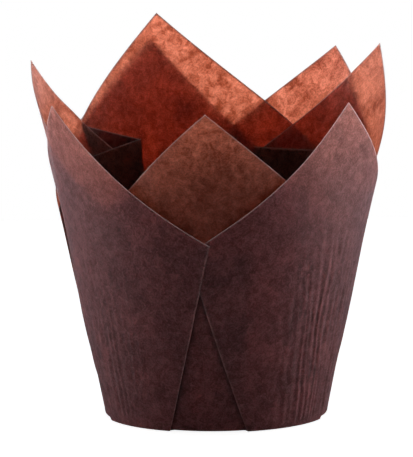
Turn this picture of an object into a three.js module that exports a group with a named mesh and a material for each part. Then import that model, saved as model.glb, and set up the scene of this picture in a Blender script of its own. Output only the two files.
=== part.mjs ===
// Tulip baking cup: two square sheets of greaseproof paper, laid crosswise and pressed together into a
// pleated cup. Millimetres, +Z up, the front of the cup towards -Y, the underside on Z = 0.
//
// Each sheet is described flat, as a square about the middle of the cup's base, and is then folded.
// Its four panels roll onto the cone of the wall without stretching, and between two panels the spare
// paper lies in an inverted box pleat: under one panel, back across, and under the next.
// Azimuths are in degrees from the front, growing towards the cup's right (+X).
import * as THREE from "three";

// The cup's wall and base
const BASE_RADIUS = 25.6; // base circle, where the wall's line meets the base
const WALL_ANGLE = 11.4; // lean of the wall away from upright
const BEND_RADIUS = 0.5; // bend between base and wall
const BEND_REACH = 4; // length over which the layers inside the bend slide to keep its shape
const PAPER_THICKNESS = 0.08; // the sheet with the roughness of its fibres
const LAYER_PITCH = 0.24; // from one folded layer to the next, as they lie loosely on each other
const PLEAT_START = 2; // the pleats begin on the base, this far in from its edge
const LAYER_RISE = 3.5; // length over which the layers of a pleat part
const FOLD_SPREAD = 0.25; // spread of a pleat's folds round the base, where all layers meet
const BASE_GAP = 0.42; // between the two sheets, centre to centre, in the base
const WALL_GAP = 1.3; // and up the wall, where the outer sheet's pleats lie between them
const GAP_RISE = 6; // length over which the gap grows

// Outer sheet: its four sides and four pleats, the first at the front, then right, back and left.
// A pleat's creases stand at these angles to its left and right, on the base and at the sheet's side.
const OUTER = {
  sideAzimuths: [-2.8, 88.2, 176.4, 267.2], // direction square to each side
  sideDistances: [67.8, 74.1, 79.6, 74.6], // from the base's middle to each side
  panelAzimuths: [41.5, 129.6, 231.6, 317.1], // middle of each panel, corner after corner
  pleatAzimuths: [-4, 86, 178, 272],
  creaseAngles: [
    { left: [20.2, 19.2], right: [19.5, 20.2] },
    { left: [20, 20], right: [20, 20] },
    { left: [20, 20], right: [20, 20] },
    { left: [20, 20], right: [20, 20] },
  ],
  lappedSides: [1, 1, 1, 1], // the panel that each pleat's other panel laps over: 1 after it, -1 before
  pleatRises: [0, 0, 0, 0], // how far each pleat's back stands above its panels
  sideBulges: [[0, 0], [0, 0], [0, 0], [0, 0]], // of the sides, before and after each corner
};

// Inner sheet, laid an eighth of a turn round: its first side faces front right.
const INNER = {
  sideAzimuths: [54.5, 147.1, 236.1, 324.2],
  sideDistances: [69.6, 81.3, 82.3, 72.9],
  panelAzimuths: [95.3, 187.8, 287, 375.2],
  pleatAzimuths: [52, 146, 228, 325],
  creaseAngles: [
    { left: [20, 20], right: [20, 20] },
    { left: [20, 20], right: [20, 20] },
    { left: [20, 20], right: [20, 20] },
    { left: [20, 20], right: [20, 20] },
  ],
  lappedSides: [1, -1, 1, 1],
  pleatRises: [0, 1.3, 0, 0],
  sideBulges: [[0, -0.3], [0.5, 0.3], [0, 0], [0.9, 0]],
};

// Above the place where a pleat's creases cross, one panel laps over the other, which steps in.
const LAP_LAYERS = 2; // layers that the covered panel steps in
const LAP_RISE = 13; // length below the crossing over which the step grows
const LAP_MARGIN = 1; // how far it stays full beyond the covering panel's crease
const LAP_FADE = 5.5; // length over which it then fades

// How far each part of the rim bows outward at RIM_BOW_HEIGHT, against the straight cone
const RIM_BOWS = [
  { azimuth: 0, out: 4.0 },
  { azimuth: 45, out: -2.8 },
  { azimuth: 90, out: 2.5 },
  { azimuth: 117, out: 2.0 },
  { azimuth: 145, out: 4.2 },
  { azimuth: 200, out: -1.0 },
  { azimuth: 255, out: 0.4 },
  { azimuth: 270, out: 1.4 },
  { azimuth: 295, out: 0.5 },
];
const RIM_BOW_SPREAD = 22; // angular reach of one bow
const RIM_BOW_START = 35; // height at which the wall leaves the straight cone
const RIM_BOW_HEIGHT = 80;

// Rolled shapes keep the base circle true by a correction that fades out over this length
const BASE_FADE = 20;

// Mesh: columns in each part of a panel and pleat, low rows at these lengths up the wall from the base
// circle, and the rows above them as shares of what is left
const PANEL_COLUMNS = 18;
const PANEL_CROWDING = 0.08; // how much closer the columns stand towards the creases
const UNDER_COLUMNS = 5;
const BACK_COLUMNS = 10;
const LOW_ROWS = [1.5, 4];
const WALL_ROWS = [0.12, 0.26, 0.4, 0.54, 0.68, 0.84, 1];

const radians = THREE.MathUtils.degToRad;
const wallLean = radians(WALL_ANGLE);
const coneSlope = Math.sin(wallLean);
const bendAngle = Math.PI / 2 - wallLean;
const bendLength = BEND_RADIUS * Math.tan(bendAngle / 2);
const pleatRadius = BASE_RADIUS - PLEAT_START;

// Smooth step from 0 to 1
function ease(t) {
  const c = Math.min(1, Math.max(0, t));
  return c * c * (3 - 2 * c);
}

// Angle brought into the half turn either side of zero
function wrap(angle) {
  return angle - 2 * Math.PI * Math.round(angle / (2 * Math.PI));
}

// Outward bow of the wall at an azimuth and a height
function rimBow(azimuth, height) {
  const rise = Math.max(0, height - RIM_BOW_START) / (RIM_BOW_HEIGHT - RIM_BOW_START);
  let bow = 0;
  for (const b of RIM_BOWS) {
    const away = wrap(azimuth - radians(b.azimuth)) / radians(RIM_BOW_SPREAD);
    bow += b.out * Math.exp(-away * away);
  }
  return bow * rise * rise;
}

// Point on the cup's profile: along is the distance up the wall from the base circle (negative on the
// base), and inset the distance inward from the outer sheet's middle surface.
function profilePoint(along, inset) {
  let radius;
  let height;
  let turn;
  if (along <= -bendLength) {
    turn = 0;
    radius = BASE_RADIUS + along;
    height = 0;
  } else if (along < bendLength) {
    turn = (bendAngle * (along + bendLength)) / (2 * bendLength);
    radius = BASE_RADIUS - bendLength + BEND_RADIUS * Math.sin(turn);
    height = BEND_RADIUS * (1 - Math.cos(turn));
  } else {
    turn = bendAngle;
    radius = BASE_RADIUS + along * Math.sin(wallLean);
    height = along * Math.cos(wallLean);
  }
  const near = 1 - ease((Math.abs(along) - bendLength) / BEND_REACH);
  const inward = Math.sin(turn) + (Math.tan(bendAngle / 2) - Math.sin(turn)) * near;
  const upward = Math.cos(turn) + (1 - Math.cos(turn)) * near;
  return {
    radius: radius - inset * inward,
    height: height + inset * upward + PAPER_THICKNESS / 2,
  };
}

// Point of the cup from its place on the unrolled wall
function cupPoint(place) {
  const p = profilePoint(place.along, place.inset);
  const radius = p.radius + rimBow(place.azimuth, p.height);
  return new THREE.Vector3(
    radius * Math.sin(place.azimuth),
    -radius * Math.cos(place.azimuth),
    p.height,
  );
}

// Rolls a flat point onto the cone about the line at azimuth middle: no length in the sheet changes,
// but for the correction that keeps the base circle.
function roll(distance, azimuth, middle) {
  const apex = BASE_RADIUS / coneSlope;
  const rolled = (r) => {
    const away = wrap(azimuth - middle);
    const x = r * Math.cos(away) + apex - BASE_RADIUS;
    const y = r * Math.sin(away);
    return { along: Math.hypot(x, y) - apex, turned: Math.atan2(y, x) / coneSlope, away };
  };
  const here = rolled(distance);
  const atBase = rolled(BASE_RADIUS);
  const fade = Math.exp(-(distance - BASE_RADIUS) / BASE_FADE);
  return {
    along: here.along - atBase.along * fade,
    azimuth: middle + here.turned + (here.away - atBase.turned) * fade,
  };
}

// The flat sheet: sides, corners and pleats in radians
function sheetPlan(sheet) {
  const normals = sheet.sideAzimuths.map(radians);
  const corners = normals.map((a, k) => {
    const b = normals[(k + 1) % 4];
    const da = sheet.sideDistances[k];
    const db = sheet.sideDistances[(k + 1) % 4];
    const det = Math.sin(b - a);
    const x = (-da * Math.cos(b) + db * Math.cos(a)) / det;
    const y = (-da * Math.sin(b) + db * Math.sin(a)) / det;
    return new THREE.Vector2(x, y);
  });
  return {
    normals,
    corners,
    distances: sheet.sideDistances,
    panels: sheet.panelAzimuths.map(radians),
    pleats: sheet.pleatAzimuths.map(radians),
    creases: sheet.creaseAngles.map((c) => ({ left: c.left.map(radians), right: c.right.map(radians) })),
    lapped: sheet.lappedSides,
    rises: sheet.pleatRises,
    bulges: sheet.sideBulges,
  };
}

// Distance from the base's middle to side k along an azimuth
function reach(plan, k, azimuth) {
  return plan.distances[k] / Math.cos(azimuth - plan.normals[k]);
}

// Share of their full spacing to which a pleat's layers have parted
function parting(along) {
  const left = 1 - Math.min(1, Math.max(0, (along + PLEAT_START) / LAYER_RISE));
  return 1 - left * left;
}

// Inset in millimetres of a layer of one sheet
function insetOf(layers, along, inner) {
  const apart = inner ? BASE_GAP + (WALL_GAP - BASE_GAP) * ease((along + PLEAT_START) / GAP_RISE) : 0;
  return layers * LAYER_PITCH * parting(along) + apart;
}

// Rows of the mesh outside the pleats' start: over the bend by length, then up the wall by share.
// Each gives how far out a line of the flat sheet is that ends at the distance far.
const lowRows = [-PLEAT_START, -1, -bendLength, 0, bendLength, ...LOW_ROWS];
const rows = [
  ...lowRows.map((rise) => () => BASE_RADIUS + rise),
  ...WALL_ROWS.map((share) => (far) => {
    const start = BASE_RADIUS + lowRows[lowRows.length - 1];
    return start + share * (far - start);
  }),
];
const lastRow = rows[rows.length - 1];

// Point of the flat sheet at a distance and an azimuth
function flatPoint(distance, azimuth) {
  return new THREE.Vector2(distance * Math.sin(azimuth), -distance * Math.cos(azimuth));
}

// Place on a straight line of the flat sheet, from the pleats' start to its side
function onLine(root, tip, row) {
  const far = tip.length();
  const share = (row(far) - pleatRadius) / (far - pleatRadius);
  const p = root.clone().lerp(tip, share);
  return { distance: p.length(), azimuth: Math.atan2(p.x, -p.y), share };
}

// Columns of the sheet, in order round it. Each gives the place on the wall of its point in a row.
function sheetColumns(plan, inner) {
  const columns = [];
  const spread = FOLD_SPREAD / pleatRadius;
  const blend = (a, b, t) => a + (b - a) * t;
  const angles = (k, side) => (side > 0 ? plan.creases[k].right : plan.creases[k].left);

  const place = (azimuth, along, layers, shift) => ({
    azimuth: azimuth + shift * spread * (1 - parting(along)),
    along,
    inset: insetOf(layers, along, inner),
  });

  // crease of pleat k, a straight line of the flat sheet
  const crease = (k, side, row) => {
    const [onBase, onSide] = angles(k, side);
    const top = plan.pleats[k] + side * onSide;
    const root = flatPoint(pleatRadius, plan.pleats[k] + side * onBase);
    const line = onLine(root, flatPoint(reach(plan, k, top), top), row);
    const panel = side > 0 ? k : (k + 3) % 4;
    const rolled = roll(line.distance, line.azimuth, plan.panels[panel]);
    const gap = side * wrap(rolled.azimuth - plan.pleats[k]) * (BASE_RADIUS + rolled.along * coneSlope);
    const away = side * wrap(line.azimuth - plan.pleats[k]);
    return { ...rolled, foldAngle: (away + gap / line.distance) / 2 };
  };

  // azimuth of a crease at a height, read between the rows and in a straight line beyond them
  const lines = plan.pleats.map((_, k) => ({
    left: rows.map((row) => crease(k, -1, row)),
    right: rows.map((row) => crease(k, 1, row)),
  }));
  const creaseAt = (line, along) => {
    let i = 1;
    while (i + 1 < line.length && line[i].along < along) i++;
    const share = (along - line[i - 1].along) / (line[i].along - line[i - 1].along);
    return line[i - 1].azimuth + wrap(line[i].azimuth - line[i - 1].azimuth) * share;
  };

  // height at which the two creases of each pleat cross
  const crossings = lines.map(({ left, right }) => {
    let along = 10;
    while (along < 60 && wrap(creaseAt(right, along) - creaseAt(left, along)) > 0) along += 0.25;
    return along;
  });

  // how far the covered panel of pleat k steps in at a place, in layers
  const lap = (k, azimuth, along) => {
    const covering = creaseAt(plan.lapped[k] > 0 ? lines[k].left : lines[k].right, along);
    const beyond = plan.lapped[k] * wrap(azimuth - covering) * (BASE_RADIUS + along * coneSlope);
    const near = 1 - ease((beyond - LAP_MARGIN) / LAP_FADE);
    return LAP_LAYERS * near * ease((along - crossings[k] + LAP_RISE) / LAP_RISE);
  };

  // the same on the side of pleat k that a panel lies on: +1 for the panel after it, -1 before it
  const step = (k, side, azimuth, along) => (side === plan.lapped[k] ? lap(k, azimuth, along) : 0);

  // the same for the layer across the back, which comes out again beyond the covered panel's crease
  const backStep = (k, azimuth, along) => {
    const covered = creaseAt(plan.lapped[k] > 0 ? lines[k].right : lines[k].left, along);
    const beyond = -plan.lapped[k] * wrap(azimuth - covered) * (BASE_RADIUS + along * coneSlope);
    return lap(k, azimuth, along) * (1 - ease((beyond - LAP_MARGIN) / LAP_FADE));
  };

  // point of the layer across the back of pleat k, at a part of the way from its middle to the inner
  // fold, which lies halfway between the crease and the pleat's spare paper
  const back = (k, side, part, row) => {
    const top = plan.pleats[k] + side * part * crease(k, side, lastRow).foldAngle;
    const far = reach(plan, k, top);
    const distance = row(far);
    const angle = side * part * crease(k, side, row).foldAngle;
    const rolled = roll(distance, plan.pleats[k] + angle, plan.pleats[k]);
    const share = (distance - pleatRadius) / (far - pleatRadius);
    return { azimuth: rolled.azimuth, along: rolled.along + plan.rises[k] * share };
  };

  // the layer under a panel, from its crease (t = 0) to the inner fold (t = 1)
  const underColumn = (k, side, t) => (row) => {
    const a = crease(k, side, row);
    const b = back(k, side, 1, row);
    const azimuth = a.azimuth + wrap(b.azimuth - a.azimuth) * t;
    const along = blend(a.along, b.along, t);
    return place(azimuth, along, 1 + step(k, side, azimuth, along), side * (0.5 - t));
  };

  // the layer across the back of pleat k, from its left inner fold (t = -1) to the right one (t = 1)
  const backColumn = (k, t) => (row) => {
    const p = back(k, t < 0 ? -1 : 1, Math.abs(t), row);
    return place(p.azimuth, p.along, 2 + backStep(k, p.azimuth, p.along), -1.5 * t);
  };

  // a line of panel k, from the pleats' start at t (0 to 1 across the panel) to the sheet's edge
  const panelColumn = (k, t) => {
    const next = (k + 1) % 4;
    const [startOnBase, startOnSide] = angles(k, 1).map((angle) => plan.pleats[k] + angle);
    const [endOnBase, endOnSide] = angles(next, -1).map((angle) => plan.pleats[next] - angle);
    const side = t < 0.5 ? k : next;
    const crossing = t < 0.5 ? startOnSide : endOnSide;
    const fromCorner = Math.abs(2 * t - 1);
    const corner = plan.corners[k];
    const tip = corner.clone().lerp(flatPoint(reach(plan, side, crossing), crossing), fromCorner);
    const bulge = 4 * fromCorner * (1 - fromCorner) * plan.bulges[k][t < 0.5 ? 0 : 1];
    tip.add(flatPoint(bulge, plan.normals[side]));
    const root = flatPoint(pleatRadius, startOnBase + wrap(endOnBase - startOnBase) * t);
    return (row) => {
      const line = onLine(root, tip, row);
      const p = roll(line.distance, line.azimuth, plan.panels[k]);
      const layers = t < 0.5 ? step(k, 1, p.azimuth, p.along) : step(next, -1, p.azimuth, p.along);
      return place(p.azimuth, p.along, layers, 1.5 * (1 - 2 * t));
    };
  };

  for (let k = 0; k < 4; k++) {
    const next = (k + 1) % 4;
    for (let i = 0; i <= PANEL_COLUMNS; i++) {
      const even = i / PANEL_COLUMNS;
      columns.push(panelColumn(k, even - PANEL_CROWDING * Math.sin(2 * Math.PI * even)));
    }
    for (let i = 0; i <= UNDER_COLUMNS; i++) columns.push(underColumn(next, -1, i / UNDER_COLUMNS));
    for (let i = 0; i <= BACK_COLUMNS; i++) columns.push(backColumn(next, (2 * i) / BACK_COLUMNS - 1));
    for (let i = UNDER_COLUMNS; i >= 0; i--) columns.push(underColumn(next, 1, i / UNDER_COLUMNS));
  }
  return columns;
}

// Middle surface of a folded sheet: rows of points round the cup, from the pleats' start to the edge,
// with a point in the middle of the base, and the triangles between them.
function middleSurface(sheet, inner) {
  const columns = sheetColumns(sheetPlan(sheet), inner);
  const count = columns.length;
  const points = [cupPoint({ along: -BASE_RADIUS, azimuth: 0, inset: insetOf(0, -BASE_RADIUS, inner) })];
  for (const row of rows) {
    for (const column of columns) points.push(cupPoint(column(row)));
  }
  const at = (row, i) => 1 + row * count + (i % count);
  const triangles = [];
  for (let i = 0; i < count; i++) triangles.push([0, at(0, i), at(0, i + 1)]);
  for (let row = 0; row + 1 < rows.length; row++) {
    for (let i = 0; i < count; i++) {
      triangles.push([at(row, i), at(row + 1, i), at(row + 1, i + 1)]);
      triangles.push([at(row, i), at(row + 1, i + 1), at(row, i + 1)]);
    }
  }
  const rim = Array.from({ length: count }, (_, i) => at(rows.length - 1, i));
  return { points, triangles, rim };
}

// Mitred offset direction of each point: square to the faces that meet there, and longer at a fold
function offsets(points, triangles) {
  const sums = points.map(() => new THREE.Vector3());
  const faces = triangles.map(([a, b, c]) => {
    const normal = new THREE.Vector3()
      .subVectors(points[b], points[a])
      .cross(new THREE.Vector3().subVectors(points[c], points[a]))
      .normalize();
    const ring = [a, b, c];
    ring.forEach((p, i) => {
      const u = new THREE.Vector3().subVectors(points[ring[(i + 1) % 3]], points[p]);
      const v = new THREE.Vector3().subVectors(points[ring[(i + 2) % 3]], points[p]);
      sums[p].addScaledVector(normal, u.angleTo(v));
    });
    return { ring, normal };
  });
  const least = points.map(() => 1);
  sums.forEach((s) => s.normalize());
  for (const { ring, normal } of faces) {
    for (const p of ring) least[p] = Math.min(least[p], normal.dot(sums[p]));
  }
  return sums.map((s, p) => s.multiplyScalar(1 / Math.max(least[p], 0.7)));
}

// Closed solid of the sheet: its middle surface thickened both ways, with the cut edge between
function sheetSolid(sheet, inner) {
  const { points, triangles, rim } = middleSurface(sheet, inner);
  const out = offsets(points, triangles);
  const count = points.length;
  const half = PAPER_THICKNESS / 2;
  const positions = [];
  for (const sign of [1, -1]) {
    points.forEach((p, i) => {
      const q = p.clone().addScaledVector(out[i], sign * half);
      positions.push(q.x, q.y, q.z);
    });
  }
  const index = [];
  for (const [a, b, c] of triangles) {
    index.push(a, b, c);
    index.push(count + a, count + c, count + b);
  }
  rim.forEach((a, i) => {
    const b = rim[(i + 1) % rim.length];
    index.push(a, count + a, count + b);
    index.push(a, count + b, b);
  });
  const geometry = new THREE.BufferGeometry();
  geometry.setAttribute("position", new THREE.Float32BufferAttribute(positions, 3));
  geometry.setIndex(index);
  geometry.computeVertexNormals();
  return geometry;
}

function sheetMesh(name, sheet, inner, color) {
  const material = new THREE.MeshStandardMaterial({ color, roughness: 0.85, side: THREE.DoubleSide });
  const mesh = new THREE.Mesh(sheetSolid(sheet, inner), material);
  mesh.name = name;
  return mesh;
}

const cup = new THREE.Group();
cup.name = "tulip_baking_cup";
cup.add(sheetMesh("outer_sheet", OUTER, false, 0x5a3430));
cup.add(sheetMesh("inner_sheet", INNER, true, 0x7a4030));

export default cup;
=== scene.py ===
"""Dresses the tulip baking cup: two finely folded sheets, their paper, the light and the camera."""

import math

import bpy
import numpy as np
from mathutils import Matrix, Vector


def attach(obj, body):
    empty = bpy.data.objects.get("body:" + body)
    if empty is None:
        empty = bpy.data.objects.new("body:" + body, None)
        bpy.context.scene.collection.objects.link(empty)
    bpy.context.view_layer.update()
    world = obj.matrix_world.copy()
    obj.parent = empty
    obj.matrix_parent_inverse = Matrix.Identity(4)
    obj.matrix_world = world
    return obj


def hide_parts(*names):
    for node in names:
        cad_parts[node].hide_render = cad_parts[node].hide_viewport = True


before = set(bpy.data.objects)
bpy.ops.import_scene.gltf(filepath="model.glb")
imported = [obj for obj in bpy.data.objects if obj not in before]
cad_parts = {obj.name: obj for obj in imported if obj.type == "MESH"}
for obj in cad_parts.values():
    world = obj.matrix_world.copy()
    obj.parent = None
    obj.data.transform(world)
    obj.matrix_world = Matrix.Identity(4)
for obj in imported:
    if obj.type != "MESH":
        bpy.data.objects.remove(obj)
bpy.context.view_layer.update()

MM = 0.001

# The cup's wall and base, in millimetres, and its pleats' layers, with the values of the part's source
BASE_RADIUS = 25.6
WALL_ANGLE = math.radians(11.4)
BEND_RADIUS = 0.5
BEND_REACH = 4.0
PAPER_THICKNESS = 0.08
LAYER_PITCH = 0.24
PLEAT_START = 2.0
LAYER_RISE = 3.5
FOLD_SPREAD = 0.25
BASE_GAP = 0.42
WALL_GAP = 1.3
GAP_RISE = 6.0
BASE_FADE = 20.0

# Each sheet: direction square to each side, distance to it, and its panels and pleats, in degrees
OUTER = dict(
    side_azimuths=[-2.8, 88.2, 176.4, 267.2],
    side_distances=[67.8, 74.1, 79.6, 74.6],
    panel_azimuths=[41.5, 129.6, 231.6, 317.1],
    pleat_azimuths=[-4, 86, 178, 272],
    crease_left=[(20.2, 19.2), (20, 20), (20, 20), (20, 20)],
    crease_right=[(19.5, 20.2), (20, 20), (20, 20), (20, 20)],
    lapped_sides=[1, 1, 1, 1],
    pleat_rises=[0, 0, 0, 0],
    side_bulges=[(0, 0), (0, 0), (0, 0), (0, 0)],
)
INNER = dict(
    side_azimuths=[54.5, 147.1, 236.1, 324.2],
    side_distances=[69.6, 81.3, 82.3, 72.9],
    panel_azimuths=[95.3, 187.8, 287, 375.2],
    pleat_azimuths=[52, 146, 228, 325],
    crease_left=[(20, 20), (20, 20), (20, 20), (20, 20)],
    crease_right=[(20, 20), (20, 20), (20, 20), (20, 20)],
    lapped_sides=[1, -1, 1, 1],
    pleat_rises=[0, 1.3, 0, 0],
    side_bulges=[(0, -0.3), (0.5, 0.3), (0, 0), (0.9, 0)],
)

# The lap of one panel over the next above the crossing of each pleat's creases
LAP_LAYERS = 2
LAP_RISE = 13.0
LAP_MARGIN = 1.0
LAP_FADE = 5.5

# Outward bows of the rim: azimuth in degrees, and millimetres at RIM_BOW_HEIGHT
RIM_BOWS = [
    (0, 4.0), (45, -2.8), (90, 2.5), (117, 2.0), (145, 4.2),
    (200, -1.0), (255, 0.4), (270, 1.4), (295, 0.5),
]
RIM_BOW_SPREAD = math.radians(22)
RIM_BOW_START = 35.0
RIM_BOW_HEIGHT = 80.0

# Fine mesh: columns of each panel, of the layer under it and of a pleat's back, rows up the wall, round
# the bend and in from it, and rings of the base
PANEL_COLUMNS = 92
UNDER_COLUMNS = 9
BACK_COLUMNS = 18
WALL_ROWS = 70
BEND_ROWS = 4
START_ROWS = 6
BASE_RINGS = 5

# Narrow strips along the sheet's edge and its creases, as shares of a column and of a row
RIM_STRIP = 0.007
CREASE_STRIP = 0.008

# Heights between which a pleat's crossing is looked for, and the step
CROSSING_LOW = 10.0
CROSSING_HIGH = 60.0
CROSSING_STEP = 0.25

# Layers at which the paper under a panel and across a pleat's back lies, below the panel
UNDER_LAYER = 1
BACK_LAYER = 2

# Places of a pleat's outer and inner edges near the base, in steps of FOLD_SPREAD from their middle
OUTER_STEP = 1.5
INNER_STEP = 0.5

# Least cosine by which a mitred offset grows, the angle in degrees above which an edge looks sharp, and a
# length that counts as none
MITRE_LEAST = 0.7
SHARP_ANGLE = 38
TINY = 1e-12

# Width of the shade that falls into a pleat beside its crease
TUCK_SHADE = 1.2

# Pressed gathers: fine upright waves in the wall between the pleats. Each set has its middle in degrees
# and its share of the depth. They start at the base, are full up to a height and end at a greater one.
GATHER_DEPTH = 0.07
GATHER_LENGTH = 2.2
GATHERS = [(54, 1.1), (140, 1.0), (230, 1.0), (304, 0.6)]
GATHER_REACH = 24
GATHER_START = 3.0
GATHER_FULL = 26.0
GATHER_TOP = 56.0

# Waves that make up the gathers: length as a share of GATHER_LENGTH, strength, and share of the wobble
WAVES = [(1.0, 1.0, 1.0), (1.73, 0.8, -1.0), (0.77, 0.5, 1.7)]

# Wobble of their lines: strengths, lengths up the wall and waves round it; then a slanted one with its
# strength and its lengths round and up the wall
WOBBLES = [(2.4, 9.0, 5), (1.3, 4.3, -11)]
SLANTED_WOBBLE = (1.8, 2.3, 13.0)

# Radius at which lengths along the wall are measured
WALL_RADIUS = BASE_RADIUS + 6

CONE_SLOPE = math.sin(WALL_ANGLE)
BEND_ANGLE = math.pi / 2 - WALL_ANGLE
BEND_LENGTH = BEND_RADIUS * math.tan(BEND_ANGLE / 2)
PLEAT_RADIUS = BASE_RADIUS - PLEAT_START


def ease(t):
    c = np.clip(t, 0.0, 1.0)
    return c * c * (3 - 2 * c)


def wrap(angle):
    return angle - 2 * np.pi * np.round(angle / (2 * np.pi))


def rim_bow(azimuth, height):
    """Outward bow of the wall at an azimuth and a height."""
    rise = np.maximum(0.0, height - RIM_BOW_START) / (RIM_BOW_HEIGHT - RIM_BOW_START)
    bow = 0.0
    for middle, out in RIM_BOWS:
        away = wrap(azimuth - math.radians(middle)) / RIM_BOW_SPREAD
        bow = bow + out * np.exp(-away * away)
    return bow * rise * rise


def pressed(azimuth, along):
    """Share of their depth that the gathers have at a place on the wall."""
    near = 0.0
    for middle, share in GATHERS:
        away = wrap(azimuth - math.radians(middle)) / math.radians(GATHER_REACH)
        near = near + share * np.exp(-away ** 4)
    fade = ease(along / GATHER_START) * (1 - ease((along - GATHER_FULL) / (GATHER_TOP - GATHER_FULL)))
    return near * fade


def gathers(azimuth, along):
    """Depth of the pressed gathers at a place on the wall."""
    arc = azimuth * WALL_RADIUS
    wobble = 0.0
    for strength, length, rounds in WOBBLES:
        wobble = wobble + strength * np.sin(along / length + rounds * azimuth)
    strength, across, upward = SLANTED_WOBBLE
    wobble = wobble + strength * np.sin(arc / across + along / upward)
    total = 0.0
    for length, strength, share in WAVES:
        total = total + strength * np.sin(2 * np.pi * arc / (GATHER_LENGTH * length) + share * wobble)
    return GATHER_DEPTH * total * pressed(azimuth, along)


def profile(along, inset):
    """Radius and height of a point of the cup's profile."""
    turn = np.clip(BEND_ANGLE * (along + BEND_LENGTH) / (2 * BEND_LENGTH), 0.0, BEND_ANGLE)
    on_bend = (along > -BEND_LENGTH) & (along < BEND_LENGTH)
    on_wall = along >= BEND_LENGTH
    radius = BASE_RADIUS + along
    radius = np.where(on_bend, BASE_RADIUS - BEND_LENGTH + BEND_RADIUS * np.sin(turn), radius)
    radius = np.where(on_wall, BASE_RADIUS + along * math.sin(WALL_ANGLE), radius)
    height = np.where(on_bend, BEND_RADIUS * (1 - np.cos(turn)), 0.0)
    height = np.where(on_wall, along * math.cos(WALL_ANGLE), height)
    near = 1 - ease((np.abs(along) - BEND_LENGTH) / BEND_REACH)
    inward = np.sin(turn) + (math.tan(BEND_ANGLE / 2) - np.sin(turn)) * near
    upward = np.cos(turn) + (1 - np.cos(turn)) * near
    return radius - inset * inward, height + inset * upward + PAPER_THICKNESS / 2


def cup_points(azimuth, along, inset):
    radius, height = profile(along, inset + gathers(azimuth, along))
    radius = radius + rim_bow(azimuth, height)
    return np.stack([radius * np.sin(azimuth), -radius * np.cos(azimuth), height], -1)


def roll(distance, azimuth, middle):
    """Rolls flat points onto the cone about the line at azimuth middle."""
    apex = BASE_RADIUS / CONE_SLOPE
    away = wrap(azimuth - middle)

    def rolled(r):
        x = r * np.cos(away) + apex - BASE_RADIUS
        y = r * np.sin(away)
        return np.hypot(x, y) - apex, np.arctan2(y, x) / CONE_SLOPE

    along, turned = rolled(distance)
    along_base, turned_base = rolled(BASE_RADIUS)
    fade = np.exp(-(distance - BASE_RADIUS) / BASE_FADE)
    return along - along_base * fade, middle + turned + (away - turned_base) * fade


def rows_to(far):
    """Distances of the rows on a line of the flat sheet that ends at the distance far."""
    start = BASE_RADIUS + BEND_LENGTH
    begin = np.linspace(PLEAT_RADIUS, BASE_RADIUS - BEND_LENGTH, START_ROWS + 1)[:-1]
    bend = np.linspace(BASE_RADIUS - BEND_LENGTH, start, BEND_ROWS + 1)
    shares = np.append(np.linspace(0.0, 1.0 - RIM_STRIP, WALL_ROWS)[1:], 1.0)
    return np.concatenate([begin, bend, start + shares * (far - start)])


def flat_point(distance, azimuth):
    return np.stack([distance * np.sin(azimuth), -distance * np.cos(azimuth)], -1)


def on_line(root, tip):
    """Distances and azimuths of the rows on a straight line of the flat sheet."""
    far = math.hypot(tip[0], tip[1])
    share = (rows_to(far) - PLEAT_RADIUS) / (far - PLEAT_RADIUS)
    points = root + (tip - root) * share[:, None]
    return np.hypot(points[:, 0], points[:, 1]), np.arctan2(points[:, 0], -points[:, 1])


def parting(along):
    """Share of their full spacing to which a pleat's layers have parted."""
    left = 1 - np.clip((along + PLEAT_START) / LAYER_RISE, 0.0, 1.0)
    return 1 - left * left


class Column:
    """One line of the sheet from the pleats' start to its edge: places on the wall and in the flat, layers
    above it, and shares from 0 to 1 of the crease's pale line, worn and with a painted highlight, and of
    the painted shade tucked into a pleat."""

    def __init__(self, azimuth, along, layers, shift, flat, crease=0.0, tuck=0.0):
        spread = FOLD_SPREAD / PLEAT_RADIUS
        self.azimuth = azimuth + shift * spread * (1 - parting(along))
        self.along = along
        self.layers = layers
        self.flat = flat
        self.crease = np.broadcast_to(crease, along.shape)
        self.tuck = np.broadcast_to(tuck, along.shape)


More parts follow.
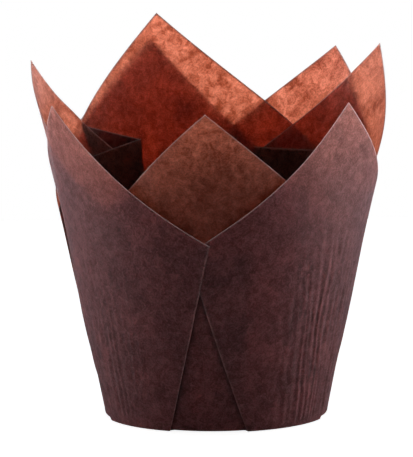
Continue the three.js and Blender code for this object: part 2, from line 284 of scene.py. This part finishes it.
class Sheet:
    """A square sheet of paper, flat and folded."""

    def __init__(self, plan, inner):
        rad = np.radians
        self.inner = inner
        self.normals = rad(plan["side_azimuths"])
        self.distances = np.array(plan["side_distances"], float)
        self.panels = rad(plan["panel_azimuths"])
        self.pleats = rad(plan["pleat_azimuths"])
        self.creases = {-1: rad(plan["crease_left"]), 1: rad(plan["crease_right"])}
        self.lapped = plan["lapped_sides"]
        self.rises = plan["pleat_rises"]
        self.bulges = plan["side_bulges"]
        self.corners = []
        for k in range(4):
            a, b = self.normals[k], self.normals[(k + 1) % 4]
            da, db = self.distances[k], self.distances[(k + 1) % 4]
            det = math.sin(b - a)
            x = (-da * math.cos(b) + db * math.cos(a)) / det
            y = (-da * math.sin(b) + db * math.sin(a)) / det
            self.corners.append(np.array([x, y]))
        self.lines = {side: [self.crease(k, side)[2:] for k in range(4)] for side in (-1, 1)}
        self.crossings = [self.crossing(k) for k in range(4)]

    def reach(self, k, azimuth):
        return self.distances[k] / np.cos(azimuth - self.normals[k])

    def crease(self, k, side):
        on_base, on_side = self.creases[side][k]
        top = self.pleats[k] + side * on_side
        root = flat_point(PLEAT_RADIUS, self.pleats[k] + side * on_base)
        distance, azimuth = on_line(root, flat_point(self.reach(k, top), top))
        panel = k if side > 0 else (k + 3) % 4
        along, turned = roll(distance, azimuth, self.panels[panel])
        return distance, azimuth, along, turned

    def crease_at(self, k, side, along):
        """Azimuth of a crease at a height, in a straight line beyond its ends."""
        height, turned = self.lines[side][k]
        i = np.clip(np.searchsorted(height, along), 1, len(height) - 1)
        share = (along - height[i - 1]) / (height[i] - height[i - 1])
        return turned[i - 1] + wrap(turned[i] - turned[i - 1]) * share

    def crossing(self, k):
        """Height at which the two creases of a pleat cross."""
        along = np.arange(CROSSING_LOW, CROSSING_HIGH, CROSSING_STEP)
        apart = wrap(self.crease_at(k, 1, along) - self.crease_at(k, -1, along))
        return float(np.append(along[apart <= 0], CROSSING_HIGH)[0])

    def beyond(self, k, side, azimuth, along):
        """Distance past the crease on one side of a pleat, towards that side."""
        return side * wrap(azimuth - self.crease_at(k, side, along)) * (BASE_RADIUS + along * CONE_SLOPE)

    def lap(self, k, azimuth, along):
        """Layers by which the covered panel of a pleat steps in at a place."""
        covering = -self.lapped[k]
        past = -self.beyond(k, covering, azimuth, along)
        near = 1 - ease((past - LAP_MARGIN) / LAP_FADE)
        return LAP_LAYERS * near * ease((along - self.crossings[k] + LAP_RISE) / LAP_RISE)

    def step(self, k, side, azimuth, along):
        return self.lap(k, azimuth, along) if side == self.lapped[k] else np.zeros_like(along)

    def back_step(self, k, azimuth, along):
        """The same for the layer across the back, which comes out again beyond the covered crease."""
        past = -self.beyond(k, self.lapped[k], azimuth, along)
        return self.lap(k, azimuth, along) * (1 - ease((past - LAP_MARGIN) / LAP_FADE))

    def fold_angle(self, k, side):
        """Angle from the pleat's middle to its inner fold, halfway to where its spare paper ends."""
        distance, azimuth, along, turned = self.crease(k, side)
        gap = side * wrap(turned - self.pleats[k]) * (BASE_RADIUS + along * CONE_SLOPE)
        return (side * wrap(azimuth - self.pleats[k]) + gap / distance) / 2

    def back(self, k, side, part):
        """The layer across the back of pleat k, at a part of the way from its middle to its inner fold."""
        azimuth = self.pleats[k] + side * part * self.fold_angle(k, side)
        far = self.reach(k, azimuth[-1])
        distance = rows_to(far)
        along, turned = roll(distance, azimuth, self.pleats[k])
        share = (distance - PLEAT_RADIUS) / (far - PLEAT_RADIUS)
        return distance, azimuth, along + self.rises[k] * share, turned

    def under_column(self, k, side, t):
        da, fa, sa, ta = self.crease(k, side)
        db, fb, sb, tb = self.back(k, side, 1.0)
        azimuth = ta + wrap(tb - ta) * t
        along = sa + (sb - sa) * t
        layers = UNDER_LAYER + self.step(k, side, azimuth, along)
        pa, pb = flat_point(da, fa), flat_point(db, fb)
        flat = pa + (pb - pa) * t
        return Column(azimuth, along, layers, side * (INNER_STEP - t), flat, float(t == 0), 1.0)

    def back_column(self, k, t):
        distance, azimuth, along, turned = self.back(k, -1 if t < 0 else 1, abs(t))
        layers = BACK_LAYER + self.back_step(k, turned, along)
        open_width = -np.maximum(self.beyond(k, 1, turned, along), self.beyond(k, -1, turned, along))
        tuck = 1 - ease(open_width / TUCK_SHADE)
        return Column(turned, along, layers, -OUTER_STEP * t, flat_point(distance, azimuth), 0.0, tuck)

    def panel_column(self, k, t):
        following = (k + 1) % 4
        start_base, start_side = self.pleats[k] + self.creases[1][k]
        end_base, end_side = self.pleats[following] - self.creases[-1][following]
        side, crossing = (k, start_side) if t < 0.5 else (following, end_side)
        from_corner = abs(2 * t - 1)
        edge = flat_point(self.reach(side, crossing), crossing)
        tip = self.corners[k] + (edge - self.corners[k]) * from_corner
        bulge = 4 * from_corner * (1 - from_corner) * self.bulges[k][0 if t < 0.5 else 1]
        tip = tip + flat_point(bulge, self.normals[side])
        root = flat_point(PLEAT_RADIUS, start_base + wrap(end_base - start_base) * t)
        distance, azimuth = on_line(root, tip)
        along, turned = roll(distance, azimuth, self.panels[k])
        layers = self.step(k, 1, turned, along) if t < 0.5 else self.step(following, -1, turned, along)
        shift = OUTER_STEP * (1 - 2 * t)
        at_crease = float(t in (0.0, 1.0))
        return Column(turned, along, layers, shift, flat_point(distance, azimuth), at_crease)

    def columns(self):
        made = []
        inner_columns = [i / PANEL_COLUMNS for i in range(1, PANEL_COLUMNS)]
        for k in range(4):
            following = (k + 1) % 4
            for t in (0.0, CREASE_STRIP, *inner_columns, 1.0 - CREASE_STRIP, 1.0):
                made.append(self.panel_column(k, t))
            for i in range(UNDER_COLUMNS + 1):
                made.append(self.under_column(following, -1, i / UNDER_COLUMNS))
            for i in range(BACK_COLUMNS + 1):
                made.append(self.back_column(following, 2 * i / BACK_COLUMNS - 1))
            for i in range(UNDER_COLUMNS, -1, -1):
                made.append(self.under_column(following, 1, i / UNDER_COLUMNS))
        return made

    def inset(self, layers, along):
        share = ease((along + PLEAT_START) / GAP_RISE)
        apart = BASE_GAP + (WALL_GAP - BASE_GAP) * share if self.inner else 0.0
        return layers * LAYER_PITCH * parting(along) + apart

    def surface(self):
        """The middle surface from the base's inner ring to the edge: its points, their places in the flat
        and on the wall, and their shares of crease and tuck."""
        columns = self.columns()
        azimuth = np.stack([c.azimuth for c in columns], 1)
        along = np.stack([c.along for c in columns], 1)
        layers = np.stack([c.layers for c in columns], 1)
        flat = np.stack([c.flat for c in columns], 1)
        crease = np.stack([c.crease for c in columns], 1)
        tuck = np.stack([c.tuck for c in columns], 1)
        share = np.arange(1, BASE_RINGS)[:, None] / BASE_RINGS
        ring_along = -BASE_RADIUS + (along[0] + BASE_RADIUS) * share
        ring_azimuth = np.broadcast_to(azimuth[0], ring_along.shape)
        azimuth = np.concatenate([ring_azimuth, azimuth])
        along = np.concatenate([ring_along, along])
        layers = np.concatenate([np.zeros_like(ring_along), layers])
        flat = np.concatenate([flat[0] * share[:, :, None], flat])
        crease = np.concatenate([np.zeros_like(ring_along), crease])
        tuck = np.concatenate([np.zeros_like(ring_along), tuck])
        points = cup_points(azimuth, along, self.inset(layers, along))
        return points, flat, azimuth, along, crease, tuck


def grid_faces(rows, count):
    """Quads of a grid that closes on itself round the cup."""
    row, col = np.meshgrid(np.arange(rows - 1), np.arange(count), indexing="ij")
    nxt = (col + 1) % count
    a, b = row * count + col, (row + 1) * count + col
    c, d = (row + 1) * count + nxt, row * count + nxt
    return np.stack([a, b, c, d], -1).reshape(-1, 4)


def point_offsets(points, quads, fan):
    """Mitred direction square to the faces that meet at each point."""
    sums = np.zeros_like(points)
    normals = []
    for faces in (quads, fan):
        p = points[faces]
        if faces.shape[1] == 4:
            n = np.cross(p[:, 2] - p[:, 0], p[:, 3] - p[:, 1])
        else:
            n = np.cross(p[:, 1] - p[:, 0], p[:, 2] - p[:, 0])
        n = n / np.maximum(np.linalg.norm(n, axis=1, keepdims=True), TINY)
        normals.append(n)
        for i in range(faces.shape[1]):
            np.add.at(sums, faces[:, i], n)
    sums = sums / np.maximum(np.linalg.norm(sums, axis=1, keepdims=True), TINY)
    least = np.ones(len(points))
    for faces, n in zip((quads, fan), normals):
        for i in range(faces.shape[1]):
            np.minimum.at(least, faces[:, i], (sums[faces[:, i]] * n).sum(1))
    return sums / np.maximum(least, MITRE_LEAST)[:, None]


def write_shares(mesh, label, values):
    """Writes one number per vertex, which the paper's material reads."""
    attribute = mesh.attributes.new(label, "FLOAT", "POINT")
    attribute.data.foreach_set("value", values.astype(np.float32))


def sheet_object(name, plan, inner):
    """The closed mesh of one sheet."""
    points, flat, azimuth, along, crease, tuck = Sheet(plan, inner).surface()
    rows, count = along.shape
    middle = rows * count
    points = np.concatenate([points.reshape(-1, 3), [[0, 0, points[0, 0, 2]]]])
    flat = np.concatenate([flat.reshape(-1, 2), [[0, 0]]])
    wall = np.stack([azimuth.reshape(-1) * WALL_RADIUS, along.reshape(-1)], -1)
    wall = np.concatenate([wall, [[0, -BASE_RADIUS]]])
    quads = grid_faces(rows, count)
    ring = np.arange(count)
    fan = np.stack([np.full(count, middle), ring, (ring + 1) % count], -1)
    out = point_offsets(points, quads, fan)
    half = PAPER_THICKNESS / 2
    verts = np.concatenate([points + out * half, points - out * half]) * MM
    total = len(points)
    rim = (rows - 1) * count + ring
    rim_next = (rows - 1) * count + (ring + 1) % count
    edge = np.stack([rim, rim + total, rim_next + total, rim_next], -1)
    faces = quads.tolist() + fan.tolist()
    faces += (quads[:, ::-1] + total).tolist() + (fan[:, ::-1] + total).tolist()
    faces += edge.tolist()

    mesh = bpy.data.meshes.new(name)
    mesh.from_pydata(verts.tolist(), [], faces)
    mesh.update()
    for label, values in (("flat", flat), ("wall", wall)):
        attribute = mesh.attributes.new(label, "FLOAT_VECTOR", "POINT")
        both = np.concatenate([values, values])
        both = np.concatenate([both, np.zeros((len(both), 1))], 1)
        attribute.data.foreach_set("vector", both.astype(np.float32).ravel())
    cut = np.zeros(len(verts))
    cut[rim] = 1.0
    cut[rim + total] = 1.0
    inner_face = np.zeros(total)
    for label, values in (("crease", crease), ("tuck", tuck), ("pressed", pressed(azimuth, along))):
        write_shares(mesh, label, np.concatenate([inner_face, values.reshape(-1), [0.0]]))
    write_shares(mesh, "cut", cut)
    mesh.polygons.foreach_set("use_smooth", [True] * len(mesh.polygons))
    mesh.set_sharp_from_angle(angle=math.radians(SHARP_ANGLE))
    obj = bpy.data.objects.new(name, mesh)
    bpy.context.collection.objects.link(obj)
    return obj


class Nodes:
    """Short ways to add and join shader nodes."""

    def __init__(self, material):
        material.use_nodes = True
        self.tree = material.node_tree
        self.tree.nodes.clear()

    def add(self, kind, **values):
        node = self.tree.nodes.new(kind)
        for key, value in values.items():
            setattr(node, key, value)
        return node

    def link(self, source, target):
        self.tree.links.new(source, target)

    def attribute(self, name):
        return self.add("ShaderNodeAttribute", attribute_name=name)

    def noise(self, vector, scale, detail, roughness=0.5, distortion=0.0):
        node = self.add("ShaderNodeTexNoise")
        node.inputs["Scale"].default_value = scale
        node.inputs["Detail"].default_value = detail
        node.inputs["Roughness"].default_value = roughness
        node.inputs["Distortion"].default_value = distortion
        self.link(vector, node.inputs["Vector"])
        return node.outputs["Fac"]

    def stretch(self, vector, scale):
        node = self.add("ShaderNodeMapping")
        node.inputs["Scale"].default_value = scale
        self.link(vector, node.inputs["Vector"])
        return node.outputs["Vector"]

    def math(self, operation, a, b=None):
        node = self.add("ShaderNodeMath", operation=operation)
        for i, value in enumerate((a, b)):
            if value is None:
                continue
            if isinstance(value, (int, float)):
                node.inputs[i].default_value = value
            else:
                self.link(value, node.inputs[i])
        return node.outputs[0]

    def total(self, values, weights):
        """Sum of the values, each times its weight."""
        parts = [self.math("MULTIPLY", value, weight) for value, weight in zip(values, weights)]
        result = parts[0]
        for part in parts[1:]:
            result = self.math("ADD", result, part)
        return result

    def spread(self, value, low, high, to_low=0.0, to_high=1.0):
        node = self.add("ShaderNodeMapRange")
        node.inputs["From Min"].default_value = low
        node.inputs["From Max"].default_value = high
        node.inputs["To Min"].default_value = to_low
        node.inputs["To Max"].default_value = to_high
        self.link(value, node.inputs["Value"])
        return node.outputs["Result"]

    def mix(self, factor, a, b):
        node = self.add("ShaderNodeMix", data_type="RGBA")
        if isinstance(factor, (int, float)):
            node.inputs[0].default_value = factor
        else:
            self.link(factor, node.inputs[0])
        for socket, value in ((node.inputs[6], a), (node.inputs[7], b)):
            if isinstance(value, tuple):
                socket.default_value = (*value, 1.0)
            else:
                self.link(value, socket)
        return node.outputs[2]


# Paper: share of each face's light that goes through, in the sheet and at its cut edges
THROUGH_SHARE = 0.7
EDGE_THROUGH_SHARE = 0.2

# Each sheet's colours as lit from the front: where it is thick, where it is thin, and its sheen
OUTER_COLOURS = ((0.030, 0.008, 0.010), (0.60, 0.210, 0.240), (1.0, 0.73, 0.86))
INNER_COLOURS = ((0.030, 0.006, 0.004), (0.50, 0.135, 0.082), (1.0, 0.70, 0.82))

# Colours that a face lets through where it is thick and thin, of cut edges and of the worn,
# painted-highlight line on creases, and of the painted shade deep in a pleat
THROUGH = (0.51, 0.215, 0.135)
THROUGH_THIN = (0.90, 0.50, 0.385)
EDGE = (0.75, 0.57, 0.54)
SHADE = (0.01, 0.003, 0.003)

# Noise of the fibres, on the flat sheet: scale per millimetre, detail, roughness and distortion
CLOUDS = (0.16, 4.0, 0.6, 0.5)
BLOTCHES = (0.6, 4.0, 0.65, 0.8)
SPECKS = (2.3, 1.0, 0.8, 0.0)

# Weights of clouds, blotches and specks in the paper's own colour and in what it lets through, with the
# values between which each goes from thick paper to thin, and weights of specks and blotches in its relief
TONE_WEIGHTS = (0.1, 0.15, 0.75)
TONE_RANGE = (0.43, 0.575)
THIN_WEIGHTS = (0.35, 0.55, 0.1)
THIN_RANGE = (0.40, 0.62)
RELIEF_WEIGHTS = (0.9, 0.8)

# Pressed lines: their waves, how far they and their patches are drawn out on the wall, the values between
# which a patch fades and what it leaves of them, how strongly they paint shade and highlight into the
# paper's colour, and how strongly they dent it
LINE_WAVES = {"Scale": 0.16, "Distortion": 7.0, "Detail": 2.0, "Detail Scale": 0.9}
LINE_STRETCH = (1.0, 0.24, 1.0)
PATCH_STRETCH = (0.12, 0.03, 1.0)
PATCH_RANGE = (0.4, 0.6)
PATCH_LEAST = 0.2
LINE_PAINTED_SHADING = 0.9
LINE_DENT = 0.8

# Shares of the painted shade in a pleat in the paper's own colour and in what it lets through, of a
# crease's pale line (worn fibres and a painted highlight) and a cut edge in its colour, and of the crease
# in how dense it is
TUCK_IN_COLOUR = 0.95
TUCK_IN_LIGHT = 0.5
CREASE_WEAR_AND_HIGHLIGHT = 0.3
CUT_IN_COLOUR = 0.9
CREASE_DENSE = 0.25

# Relief of the fibres and the pressed lines: its strength, and its height in metres
RELIEF_STRENGTH = 0.8
RELIEF_HEIGHT = 0.00018


def gather_lines(n, wall, pressed_share):
    """Fine wavy lines up the wall where its gathers were pressed, above and below 0."""
    waves = n.add("ShaderNodeTexWave", wave_type="BANDS", bands_direction="X", wave_profile="SIN")
    for label, value in LINE_WAVES.items():
        waves.inputs[label].default_value = value
    n.link(n.stretch(wall, LINE_STRETCH), waves.inputs["Vector"])
    patches = n.noise(n.stretch(wall, PATCH_STRETCH), 1.0, 1.0)
    patches = n.spread(patches, *PATCH_RANGE, PATCH_LEAST, 1.0)
    signed = n.math("SUBTRACT", waves.outputs["Fac"], 0.5)
    return n.math("MULTIPLY", n.math("MULTIPLY", signed, pressed_share), patches)


def paper(name, dull, warm, tint):
    """Greaseproof paper: cloudy fibres, fine specks, pressed lines with painted shade and highlight,
    painted shade in the pleats, creases worn pale and painted with highlight, and light that comes through
    it.
    """
    material = bpy.data.materials.new(name)
    n = Nodes(material)
    flat = n.attribute("flat").outputs["Vector"]
    wall = n.attribute("wall").outputs["Vector"]
    cut = n.attribute("cut").outputs["Fac"]
    crease = n.attribute("crease").outputs["Fac"]
    tuck = n.attribute("tuck").outputs["Fac"]

    clouds = n.noise(flat, *CLOUDS)
    blotches = n.noise(flat, *BLOTCHES)
    specks = n.noise(flat, *SPECKS)
    lines = gather_lines(n, wall, n.attribute("pressed").outputs["Fac"])

    tone = n.total((clouds, blotches, specks), TONE_WEIGHTS)
    # The pressed lines paint shade into the colour in their dents and highlight on their ridges
    tone = n.math("SUBTRACT", n.spread(tone, *TONE_RANGE), n.math("MULTIPLY", lines, LINE_PAINTED_SHADING))
    body = n.mix(tone, dull, warm)
    body = n.mix(n.math("MULTIPLY", tuck, TUCK_IN_COLOUR), body, SHADE)
    # Pale line along the creases: worn fibres and a painted highlight
    body = n.mix(n.math("MULTIPLY", crease, CREASE_WEAR_AND_HIGHLIGHT), body, EDGE)
    body = n.mix(n.math("MULTIPLY", cut, CUT_IN_COLOUR), body, EDGE)

    thin = n.total((clouds, blotches, specks), THIN_WEIGHTS)
    glow = n.mix(n.spread(thin, *THIN_RANGE), THROUGH, THROUGH_THIN)
    glow = n.mix(n.math("MULTIPLY", tuck, TUCK_IN_LIGHT), glow, SHADE)

    height = n.total((specks, blotches), RELIEF_WEIGHTS)
    height = n.math("SUBTRACT", height, n.math("MULTIPLY", lines, LINE_DENT))
    bump = n.add("ShaderNodeBump")
    bump.inputs["Strength"].default_value = RELIEF_STRENGTH
    bump.inputs["Distance"].default_value = RELIEF_HEIGHT
    n.link(height, bump.inputs["Height"])

    front = n.add("ShaderNodeBsdfPrincipled")
    front.inputs["Roughness"].default_value = 0.5
    front.inputs["Specular IOR Level"].default_value = 0.8
    front.inputs["Sheen Weight"].default_value = 1.0
    front.inputs["Sheen Roughness"].default_value = 0.4
    front.inputs["Sheen Tint"].default_value = (*tint, 1.0)
    n.link(body, front.inputs["Base Color"])
    n.link(bump.outputs[0], front.inputs["Normal"])
    behind = n.add("ShaderNodeBsdfTranslucent")
    n.link(glow, behind.inputs["Color"])
    both = n.add("ShaderNodeMixShader")
    dense = n.math("MAXIMUM", cut, n.math("MULTIPLY", crease, CREASE_DENSE))
    n.link(n.spread(dense, 0.0, 1.0, THROUGH_SHARE, EDGE_THROUGH_SHARE), both.inputs[0])
    n.link(front.outputs[0], both.inputs[1])
    n.link(behind.outputs[0], both.inputs[2])
    output = n.add("ShaderNodeOutputMaterial")
    n.link(both.outputs[0], output.inputs["Surface"])
    return material


def dressed_sheet(name, node, plan, inner, colours):
    """One sheet in its paper, on the body and in the place of the node that it stands for."""
    obj = sheet_object(name, plan, inner)
    obj.data.materials.append(paper(name + "_paper", *colours))
    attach(obj, "root")
    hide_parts(node)
    return obj


# Floor: half its size and its drop below the cup in metres, its grey, and the strength that camera rays see
FLOOR_HALF = 0.3
FLOOR_DROP = 0.0002
FLOOR_GREY = 0.8
FLOOR_SEEN = 0.91


def floor():
    """Plain white floor that keeps the cup's shadow."""
    mesh = bpy.data.meshes.new("floor")
    far = FLOOR_HALF
    corners = [(-far, -far, 0), (far, -far, 0), (far, far, 0), (-far, far, 0)]
    mesh.from_pydata(corners, [], [(0, 1, 2, 3)])
    obj = bpy.data.objects.new("floor", mesh)
    obj.location.z = -FLOOR_DROP
    bpy.context.collection.objects.link(obj)
    material = bpy.data.materials.new("floor")
    n = Nodes(material)
    dull = n.add("ShaderNodeBsdfDiffuse")
    dull.inputs["Color"].default_value = (FLOOR_GREY, FLOOR_GREY, FLOOR_GREY, 1)
    seen = n.add("ShaderNodeLightPath").outputs["Is Camera Ray"]
    glow = n.add("ShaderNodeEmission")
    n.link(n.math("MULTIPLY", seen, FLOOR_SEEN), glow.inputs["Strength"])
    both = n.add("ShaderNodeAddShader")
    n.link(dull.outputs[0], both.inputs[0])
    n.link(glow.outputs[0], both.inputs[1])
    output = n.add("ShaderNodeOutputMaterial")
    n.link(both.outputs[0], output.inputs["Surface"])
    mesh.materials.append(material)


# Light of the surround in front, at the sides and behind, the side light's share at the right, and what
# is left of it far back and overhead
FRONT_LIGHT = 0.65
SIDE_LIGHT = 10.8
BACK_LIGHT = 12.8
RIGHT_SHARE = 1.2
FAR_SHARE = 0.1
TOP_SHARE = 0.02

# Strength of the surround that camera rays see
SURROUND_SEEN = 1.0

# Directions between which each light changes, as parts of a unit arrow: Y backwards, X right, Z up
SIDE_STARTS = (-0.24, 0.2)
SIDE_ENDS = (0.4, 0.65)
SIDE_HEIGHTS = (0.05, 0.36)
RIGHT_STARTS = (0.0, 0.9)
BACK_STARTS = (0.7, 0.95)
BACK_HEIGHTS = (-0.06, 0.22)


def studio():
    """A surround that looks white: its light is strong low behind and at the sides, weak in front and
    dim overhead."""
    world = bpy.data.worlds.new("studio")
    bpy.context.scene.world = world
    n = Nodes(world)
    direction = n.add("ShaderNodeTexCoord").outputs["Generated"]
    split = n.add("ShaderNodeSeparateXYZ")
    n.link(direction, split.inputs[0])
    right, back, up = (split.outputs[axis] for axis in "XYZ")
    aside = n.spread(back, *SIDE_STARTS, FRONT_LIGHT, SIDE_LIGHT)
    aside = n.math("MULTIPLY", aside, n.spread(back, *SIDE_ENDS, 1.0, FAR_SHARE))
    aside = n.math("MULTIPLY", aside, n.spread(up, *SIDE_HEIGHTS, 1.0, TOP_SHARE))
    aside = n.math("MULTIPLY", aside, n.spread(right, *RIGHT_STARTS, 1.0, RIGHT_SHARE))
    behind = n.spread(back, *BACK_STARTS, 0.0, BACK_LIGHT)
    behind = n.math("MULTIPLY", behind, n.spread(up, *BACK_HEIGHTS, 1.0, 0.0))
    level = n.math("ADD", aside, behind)
    seen = n.add("ShaderNodeLightPath").outputs["Is Camera Ray"]
    strength = n.add("ShaderNodeMix", data_type="FLOAT")
    n.link(seen, strength.inputs[0])
    n.link(level, strength.inputs[2])
    strength.inputs[3].default_value = SURROUND_SEEN
    backdrop = n.add("ShaderNodeBackground")
    backdrop.inputs["Color"].default_value = (1, 1, 1, 1)
    n.link(strength.outputs[0], backdrop.inputs["Strength"])
    output = n.add("ShaderNodeOutputWorld")
    n.link(backdrop.outputs[0], output.inputs["Surface"])


# Camera, fitted to the cup's corners in the photograph: millimetres, degrees, and pixels of focal length
CAMERA_ELEVATION = 8.53
CAMERA_DISTANCE = 1283.0
CAMERA_AIM = (-1.87, 0.0, 42.41)
CAMERA_ROLL = -0.511
CAMERA_FOCAL_PIXELS = 5651.6
FRAME_HEIGHT = 457


def camera():
    """Camera at the photograph's viewing angle."""
    elevation = math.radians(CAMERA_ELEVATION)
    back = Vector((0.0, -math.cos(elevation), math.sin(elevation)))
    right = Vector((1.0, 0.0, 0.0))
    up = back.cross(right)
    turn = math.radians(CAMERA_ROLL)
    right, up = right * math.cos(turn) + up * math.sin(turn), up * math.cos(turn) - right * math.sin(turn)
    place = (Vector(CAMERA_AIM) + back * CAMERA_DISTANCE) * MM
    data = bpy.data.cameras.new("camera")
    data.lens = CAMERA_FOCAL_PIXELS / FRAME_HEIGHT * data.sensor_width
    data.clip_end = 50
    obj = bpy.data.objects.new("camera", data)
    obj.matrix_world = Matrix((
        (right.x, up.x, back.x, place.x),
        (right.y, up.y, back.y, place.y),
        (right.z, up.z, back.z, place.z),
        (0, 0, 0, 1),
    ))
    bpy.context.collection.objects.link(obj)
    bpy.context.scene.camera = obj


dressed_sheet("outer_paper_sheet", "outer_sheet", OUTER, False, OUTER_COLOURS)
dressed_sheet("inner_paper_sheet", "inner_sheet", INNER, True, INNER_COLOURS)
floor()
studio()
camera()
bpy.context.scene.view_settings.view_transform = "Standard"
